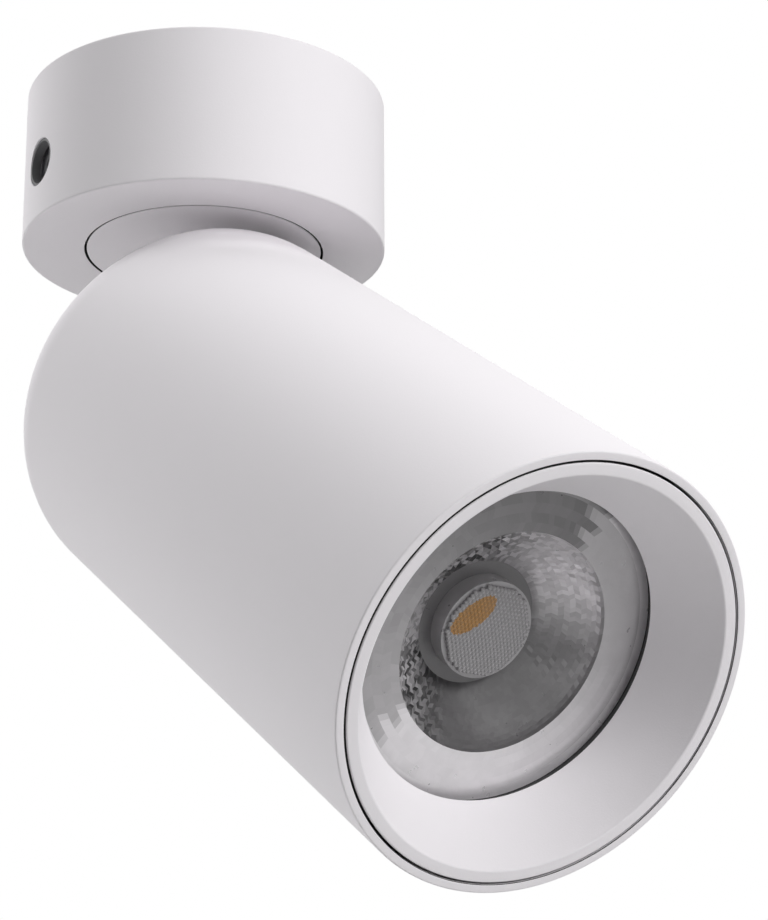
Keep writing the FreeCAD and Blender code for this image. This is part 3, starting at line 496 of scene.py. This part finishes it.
def head_housing():
    bore = HEAD_R - TUBE_WALL
    inside = HEAD_REAR + REAR_WALL
    section = [
        (0, HEAD_REAR), (HEAD_R, HEAD_REAR), (HEAD_R, HEAD_FRONT), (bore, HEAD_FRONT),
        (bore, inside), (0, inside),
    ]
    bevels = [
        (1, ROUNDING, 24), (4, ROUNDING - REAR_WALL, 16), (2, 0.35 * MM, 3),
        (3, 0.25 * MM, 2),
    ]
    shell = turned("head_tube", section, bevels, steps=192)
    bm = bmesh.new()
    bmesh.ops.create_cube(bm, size=1.0)
    size = Vector((SLOT_HALF * 2, SLOT_UP + SLOT_DOWN, REAR_WALL * 4))
    middle = Vector((0, (SLOT_UP - SLOT_DOWN) / 2, HEAD_REAR + REAR_WALL / 2))
    bmesh.ops.scale(bm, vec=size, verts=bm.verts[:])
    bmesh.ops.translate(bm, vec=middle, verts=bm.verts[:])
    corners = [e for e in bm.edges if abs((e.verts[0].co - e.verts[1].co).z) > REAR_WALL]
    bmesh.ops.bevel(bm, geom=corners, offset=2.5 * MM, segments=6, profile=0.5,
                    affect="EDGES", material=-1)
    cut_with(shell, [new_object("slot_cutter", bm)])
    # The bore's front 9 mm, facing the cone across the gap, is painted dark as shade.
    deep = HEAD_FRONT - 9.0 * MM
    paint_gap_shade(shell, lambda r, z: r < bore + 0.1 * MM and deep < z < HEAD_FRONT)
    shell.data.transform(head_place)
    return shade(shell)


stands_for(head_housing(), "head_housing", "head")

# %% [markdown]
# ## Anti-glare cone
# The cone sits in the mouth, flush with the tube. A gap of 0.4 mm parts the two,
# and both sides of the gap are rounded, so it reads as one fine dark line. The
# walls inside the gap are painted dark as shade.

# %% Cone
MOUTH_R = 38.0 * MM
CONE_END_R = 30.3 * MM
CONE_DEPTH = 13.1 * MM
CONE_WALL = 1.2 * MM
GAP = 0.45 * MM


def anti_glare_cone():
    outer = HEAD_R - TUBE_WALL - GAP
    end = HEAD_FRONT - CONE_DEPTH
    skirt_end = HEAD_FRONT - 8.0 * MM
    inside = HEAD_FRONT - CONE_WALL * 2
    section = [
        (MOUTH_R, HEAD_FRONT), (outer, HEAD_FRONT), (outer, skirt_end),
        (outer - CONE_WALL, skirt_end), (outer - CONE_WALL, inside), (MOUTH_R, inside),
        (CONE_END_R + CONE_WALL, end), (CONE_END_R, end),
    ]
    bevels = [(0, 0.3 * MM, 3), (1, 0.3 * MM, 3), (7, 0.15 * MM, 2)]
    cone = turned("glare_cone", section, bevels, None, 192)
    # The skirt's outer wall, inside the gap to the tube, is painted dark as shade.
    edge = HEAD_FRONT - 0.35 * MM
    paint_gap_shade(cone, lambda r, z: r > outer - 0.1 * MM and z < edge)
    cone.data.transform(head_place)
    return shade(cone)


stands_for(anti_glare_cone(), "anti_glare_cone", "head")

# %% [markdown]
# ## Lens
# The lens is a collimator: light enters at its back, is mirrored by a faceted outer
# wall and leaves through the front. Seen from outside, every facet of that wall
# sends another part of the room to the eye, so the optic looks like cut silver. We
# model its visible face as real facets, and give each facet its own tone: a painted
# reflection, with painted highlights and painted shade. Low on the right the wall
# mirrors one even surface, so the facets there are shallow.

# %% Lens sizes
COLUMNS = 120
WALL_ROWS = 13
FACET_DEPTH = 0.2 * MM
LENS_FLANGE = 3.2 * MM
BODY_R = 29.5 * MM
TAIL_R = 12.0 * MM
WELL_R = 21.7 * MM
WELL_FLOOR_R = 12.2 * MM
WELL_DEPTH = 10.0 * MM
WELL_FLOOR = LENS_FACE - WELL_DEPTH
DOME_R = 9.6 * MM
DOME_TOP = LENS_FACE - 6.2 * MM
POCKET_R = 9.0 * MM
POCKET_DEPTH = 3.0 * MM


# %% [markdown]
# The painted reflection tones follow the angle about the light's axis: each stop
# holds an angle, the mean tone there and how far single facets stray from it.

# %% Painted facet tones
# Bright stops are painted highlights and dark stops painted shade.
WELL_PAINTED_REFLECTIONS = [(0, 0.24, 0.03), (35, 0.72, 0.12), (75, 0.95, 0.2), (110, 0.5, 0.48),
              (150, 0.5, 0.5), (185, 0.82, 0.3), (215, 0.38, 0.5), (245, 0.16, 0.12),
              (262, 0.13, 0.01), (330, 0.13, 0.01), (360, 0.24, 0.03)]
FACE_PAINTED_REFLECTIONS = [(0, 0.52, 0.01), (66, 0.54, 0.01), (72, 0.18, 0.015), (150, 0.28, 0.02),
              (222, 0.5, 0.035), (228, 0.88, 0.03), (290, 0.88, 0.02), (330, 0.66, 0.01),
              (360, 0.52, 0.01)]


def tone_at(stops, angle, chance):
    """The tone between two stops, moved by a chance from -1 to 1."""
    for (start, tone, stray), (end, next_tone, next_stray) in zip(stops, stops[1:]):
        if start <= angle <= end:
            share = (angle - start) / (end - start)
            middle = tone + (next_tone - tone) * share
            spread = stray + (next_stray - stray) * share
            return min(max(middle + spread * chance, 0.015), 0.95)
    return stops[0][1]


def painted_facet_tone(radius, height, angle, chance):
    """The painted reflection tone of a facet of the lens's front, well and dome."""
    if height > LENS_FACE - 0.1 * MM:
        step = 5.0 * math.sin(radius / MM * 1.7)
        tone = tone_at(FACE_PAINTED_REFLECTIONS, (angle + step) % 360, chance)
        # The flange ring outside the body gets painted light, half again brighter, against the shade of the ring
        # above it.
        return min(tone * 1.5, 0.95) if radius > BODY_R else tone
    if radius > WELL_FLOOR_R and height > WELL_FLOOR:
        # The well wall gets painted shade, darker towards the well's floor.
        sparkle = math.copysign(abs(chance) ** 0.6, chance)
        rise = (height - WELL_FLOOR) / WELL_DEPTH
        return tone_at(WELL_PAINTED_REFLECTIONS, angle, sparkle) * (0.75 + 0.35 * rise)
    if radius > DOME_R:
        return 0.15
    return 0.38


# %% Lens body
def lens_section():
    """Corners of half the lens, the first turned ring and those that are faceted."""
    seat = LENS_FACE - LENS_FLANGE
    section = [(0, LENS_REAR + POCKET_DEPTH), (POCKET_R, LENS_REAR + POCKET_DEPTH),
               (POCKET_R, LENS_REAR), (TAIL_R, LENS_REAR), (BODY_R, seat), (LENS_R, seat)]
    rings = (LENS_R, BODY_R, 27.3 * MM, 25.4 * MM, 23.5 * MM, WELL_R)
    turned_first = len(section) + 1
    section += [(radius, LENS_FACE) for radius in rings]
    first = len(section)
    for row in range(1, WALL_ROWS):
        share = row / WALL_ROWS
        section.append((WELL_R + (WELL_FLOOR_R - WELL_R) * share ** 1.35,
                        LENS_FACE - WELL_DEPTH * share))
    faceted = range(first, len(section))
    section += [(WELL_FLOOR_R, WELL_FLOOR), (DOME_R, WELL_FLOOR), (DOME_R, DOME_TOP),
                (0, DOME_TOP)]
    return section, turned_first, faceted


def facet_relief(angle):
    """How deep the facets are at an angle: flat low on the right, full on the left."""
    if -1.8 < angle < -0.35:
        return 0.06
    return 0.22 if -0.35 <= angle < 1.7 else 1.0


def stagger(bm, section, turned_first, faceted):
    """Turn every second ring by half a column and move facet corners in and out."""
    step = math.tau / COLUMNS
    rings = {(round(section[i][0], 5), round(section[i][1], 5)): i
             for i in range(turned_first, faceted[-1] + 1)}
    for vert in bm.verts:
        ring = rings.get((round(vert.co.xy.length, 5), round(vert.co.z, 5)))
        if ring is None:
            continue
        angle = math.atan2(vert.co.y, vert.co.x)
        column = round(angle / step)
        radius = vert.co.xy.length
        if ring in faceted:
            depth = FACET_DEPTH * facet_relief(angle)
            radius += depth if (column + ring // 2) % 2 else -depth
        angle += step / 2 * (ring % 2)
        vert.co.xy = radius * math.cos(angle), radius * math.sin(angle)


def lens_body():
    section, turned_first, faceted = lens_section()
    bm = spin_section(section, COLUMNS)
    stagger(bm, section, turned_first, faceted)
    painted_layer = bm.loops.layers.float_color.new("tone")
    dice = random.Random(7)
    for face in bm.faces:
        middle = face.calc_center_median()
        radius = middle.xy.length
        angle = math.degrees(math.atan2(middle.y, middle.x)) % 360
        tone = painted_facet_tone(radius, middle.z, angle, dice.uniform(-1, 1))
        for loop in face.loops:
            loop[painted_layer] = rgba(tone, tone * 0.03)
        well = WELL_FLOOR + 0.1 * MM < middle.z < LENS_FACE - 0.1 * MM
        face.smooth = not (well and WELL_FLOOR_R < radius < WELL_R)
    print("collimator", len(bm.faces), "faces")
    return new_object("collimator", bm, head_place)


def shade_parts(piece, sharp=SHARP):
    """Keep sharp rings crisp without touching the flat facets."""
    bm = bmesh.new()
    bm.from_mesh(piece.data)
    for edge in bm.edges:
        edge.smooth = len(edge.link_faces) == 2 and edge.calc_face_angle(0) < sharp
    bm.to_mesh(piece.data)
    bm.free()
    return piece


# %% [markdown]
# The facets' material reads their painted reflection tone from the mesh. It is
# half metal and half matt, below a thin clear coat: the coat is the smooth front face of the optic.

# %% Painted light on the facets
def painted_light_finish(name, metallic=0.45, roughness=0.24):
    nodes = Nodes(name)
    tone = nodes.add("ShaderNodeAttribute", {"attribute_name": "tone"})[0]
    ripple = nodes.noise(420.0, 2.0)
    mottle = nodes.noise(260.0, 3.0)
    nodes.set(Base_Color=nodes.blend(0.25 * mottle, tone, rgba(0.3)), Metallic=metallic,
              Roughness=roughness + ripple * 0.12,
              Normal=nodes.bump(ripple, 0.35, 0.0002))
    nodes.shader.inputs["Coat Weight"].default_value = 0.35
    return nodes.material


finishes["painted_light_finish"] = painted_light_finish("painted_light_finish")
collimator = stands_for(shade_parts(lens_body()), "lens", "head")
dress(collimator, "painted_light_finish")

# %% [markdown]
# The middle of the lens carries a pad of tiny hexagonal lenslets that blur the
# source. One cell is a capped circle of six sides with a raised middle, and the
# cells are welded into one sheet that is extruded to a thin plate. Seen at a slant,
# the lenslets bend the amber of the source to one side of the pad; that amber image
# is painted on the cells, and cell sides facing one way get a painted highlight.

# %% Lenslet pad
CELL_PITCH = 0.86 * MM
CELL_RISE = 0.2 * MM
PAD_R = 9.3 * MM
PAD_SHEET = 0.5 * MM
PAD_CROWN = 0.5 * MM
PAINTED_AMBER_SPOT = Vector((-4.6 * MM, 2.6 * MM))
AMBER = (0.5, 0.25, 0.05, 1)
PAD_GREY = (0.43, 0.42, 0.43, 1)


def pad_painted_colour(middle, normal):
    """Painted amber image of the source near its spot, clear grey elsewhere, with painted light on cell sides
    facing one way.
    """
    along = Vector((0.66, 0.75))
    across = Vector((0.75, -0.66))
    offset = middle.xy - PAINTED_AMBER_SPOT
    far = math.hypot(offset.dot(along) / (5.2 * MM), offset.dot(across) / (2.3 * MM))
    # Cell sides facing one way are painted lighter: painted highlight.
    light = 0.62 + 1.5 * max(normal.x * 0.75 - normal.y * 0.66, 0.0)
    colour = AMBER if far < 1 else PAD_GREY
    return [min(part * light, 0.9) for part in colour[:3]] + [1.0]


def lenslet_pad():
    bm = bmesh.new()
    corner = CELL_PITCH / math.sqrt(3)
    rows = int(PAD_R / (corner * 1.5)) + 1
    for row in range(-rows, rows + 1):
        y = row * corner * 1.5
        shift = 0.5 * (row % 2)
        for column in range(-rows - 2, rows + 3):
            x = (column + shift) * CELL_PITCH
            if math.hypot(x, y) > PAD_R - corner:
                continue
            cell = bmesh.ops.create_circle(bm, cap_ends=True, segments=6, radius=corner,
                                           matrix=Matrix.Translation((x, y, 0)))
            face = cell["verts"][0].link_faces[0]
            bmesh.ops.inset_individual(bm, faces=[face], thickness=corner * 0.4,
                                       depth=CELL_RISE * 0.7)
            bmesh.ops.poke(bm, faces=[face], offset=CELL_RISE * 0.3)
    bmesh.ops.remove_doubles(bm, verts=bm.verts[:], dist=corner * 0.05)
    for vert in bm.verts:
        vert.co.z -= PAD_CROWN * (vert.co.xy.length / PAD_R) ** 2
    bmesh.ops.recalc_face_normals(bm, faces=bm.faces[:])
    low = bmesh.ops.extrude_face_region(bm, geom=bm.faces[:], use_keep_orig=True)
    moved = [item for item in low["geom"] if isinstance(item, bmesh.types.BMVert)]
    for vert in moved:
        vert.co.z = -PAD_CROWN - PAD_SHEET
    bmesh.ops.recalc_face_normals(bm, faces=bm.faces[:])
    painted_layer = bm.loops.layers.float_color.new("tone")
    for face in bm.faces:
        colour = pad_painted_colour(face.calc_center_median(), face.normal)
        for loop in face.loops:
            loop[painted_layer] = colour
    lift = Matrix.Translation((0, 0, DOME_TOP + PAD_SHEET + PAD_CROWN + 0.05 * MM))
    piece = new_object("lenslet_pad", bm, head_place @ lift)
    print("lenslet_pad", len(piece.data.polygons), "faces")
    return shade(piece, math.radians(18), weighted=False)


finishes["lenslets"] = painted_light_finish("lenslets", 0.25, 0.12)
pad = stands_for(lenslet_pad(), "lens", "head")
dress(pad, "lenslets")

# %% [markdown]
# ## Cast and pressed pieces
# The arm, the ceiling bracket and the terminal block show their edges from behind
# and from above. Each is drawn again from its CAD outline: flat faces are merged
# first, so that a bevel has only the real edges to follow.

# %% Softened edges
def softened(name, node, body, width, segments=3):
    """A copy of a CAD node with its sharp edges rounded."""
    bm = bmesh.new()
    bm.from_mesh(frame["nodes"][node].data)
    bmesh.ops.remove_doubles(bm, verts=bm.verts[:], dist=1e-7)
    bmesh.ops.dissolve_limit(bm, angle_limit=math.radians(0.5), verts=bm.verts[:],
                             edges=bm.edges[:])
    edges = [e for e in bm.edges if len(e.link_faces) == 2
             and e.calc_face_angle(0) > math.radians(50)]
    bmesh.ops.bevel(bm, geom=edges, offset=width, offset_type="OFFSET", segments=segments,
                    profile=0.5, affect="EDGES", material=-1, clamp_overlap=True)
    bmesh.ops.recalc_face_normals(bm, faces=bm.faces[:])
    piece = shade(new_object(name, bm))
    print(name, len(piece.data.polygons), "faces")
    return stands_for(piece, node, body)


softened("cast_arm", "swivel_arm", "swivel", 0.6 * MM)
softened("pressed_bracket", "ceiling_bracket", "canopy", 0.25 * MM, 2)
softened("terminal_body", "terminal_block", "canopy", 0.4 * MM, 2)

# %% [markdown]
# ## Stage
# A pale floor far below, soft lamps, and a white background that only the camera
# and mirrors see, so that the light on the object stays at a plain level.

# %% Floor
FLOOR_Z = -0.62


def stage_floor():
    bm = bmesh.new()
    bmesh.ops.create_grid(bm, x_segments=1, y_segments=1, size=1.1)
    floor = new_object("studio_floor", bm, Matrix.Translation((0, 0, FLOOR_Z)))
    nodes = Nodes("pale_floor")
    mottle = nodes.noise(3.0)
    nodes.set(Base_Color=nodes.blend(mottle, rgba(0.78), rgba(0.82)), Roughness=0.8)
    floor.data.materials.append(nodes.material)
    return floor


stage_floor()


# %% World
def studio_world(strength, grey):
    world = bpy.data.worlds.new("studio")
    bpy.context.scene.world = world
    world.use_nodes = True
    tree = world.node_tree
    paths = tree.nodes.new("ShaderNodeLightPath")
    seen = paths.outputs["Is Camera Ray"]
    for ray in ("Is Glossy Ray", "Is Transmission Ray"):
        either = tree.nodes.new("ShaderNodeMath")
        either.operation = "MAXIMUM"
        tree.links.new(seen, either.inputs[0])
        tree.links.new(paths.outputs[ray], either.inputs[1])
        seen = either.outputs[0]
    plain = tree.nodes["Background"]
    plain.inputs["Color"].default_value = rgba(grey)
    plain.inputs["Strength"].default_value = strength
    white = tree.nodes.new("ShaderNodeBackground")
    white.inputs["Color"].default_value = rgba(1.0)
    white.inputs["Strength"].default_value = 1.0
    mix = tree.nodes.new("ShaderNodeMixShader")
    tree.links.new(seen, mix.inputs[0])
    tree.links.new(plain.outputs[0], mix.inputs[1])
    tree.links.new(white.outputs[0], mix.inputs[2])
    tree.links.new(mix.outputs[0], tree.nodes["World Output"].inputs["Surface"])


studio_world(0.02, 1.0)

# %% [markdown]
# The camera stands where the photograph was taken from. Its place and its three
# angles come from fitting the circles of canopy and head to the picture.

# %% Camera
CAMERA_PLACE = Vector((-0.2386, -0.4824, -0.2587))
CAMERA_HEADING = math.radians(26.0 + 4.65)
CAMERA_RISE = math.radians(17.88)
CAMERA_ROLL = math.radians(-0.25)
CAMERA_LENS = 99.76


def photo_camera():
    camera = bpy.data.objects.new("camera", bpy.data.cameras.new("camera"))
    camera.data.lens = CAMERA_LENS
    camera.data.sensor_width = 36.0
    turn = Matrix.Rotation(-CAMERA_HEADING, 4, "Z")
    rise = Matrix.Rotation(math.pi / 2 + CAMERA_RISE, 4, "X")
    roll = Matrix.Rotation(CAMERA_ROLL, 4, "Z")
    camera.matrix_world = Matrix.Translation(CAMERA_PLACE) @ turn @ rise @ roll
    bpy.context.scene.collection.objects.link(camera)
    bpy.context.scene.camera = camera
    return camera


camera = photo_camera()

# %% [markdown]
# Lamps are placed from the camera's point of view: a broad key from the upper
# right, a soft one from above, and two rim lamps on the left, which give the
# canopy and the head their light left edges. The dark band between stays.

# %% Lamps
TARGET = Vector((0.0, -0.06, -0.09))


def lamp(name, right, up, toward, size, watts):
    """An area lamp at an offset from the target, in the camera's directions."""
    axes = camera.matrix_world.to_3x3()
    spot = TARGET + axes @ Vector((right, up, toward))
    data = bpy.data.lights.new(name, "AREA")
    data.shape = "DISK"
    data.size = size
    data.energy = watts
    light = bpy.data.objects.new(name, data)
    light.location = spot
    light.visible_glossy = False
    light.rotation_euler = (TARGET - spot).to_track_quat("-Z", "Y").to_euler()
    bpy.context.scene.collection.objects.link(light)
    return light


lamp("key", 0.9, 0.6, 0.55, 0.7, 11.6)
lamp("top", 0.1, 1.2, 0.2, 0.7, 4.5)
lamp("rim_low", -0.9, -0.3, -0.1, 0.6, 2.7)
lamp("rim_back", -0.8, 0.7, -0.5, 0.6, 7.4)

# %% View settings
bpy.context.scene.view_settings.view_transform = "Standard"
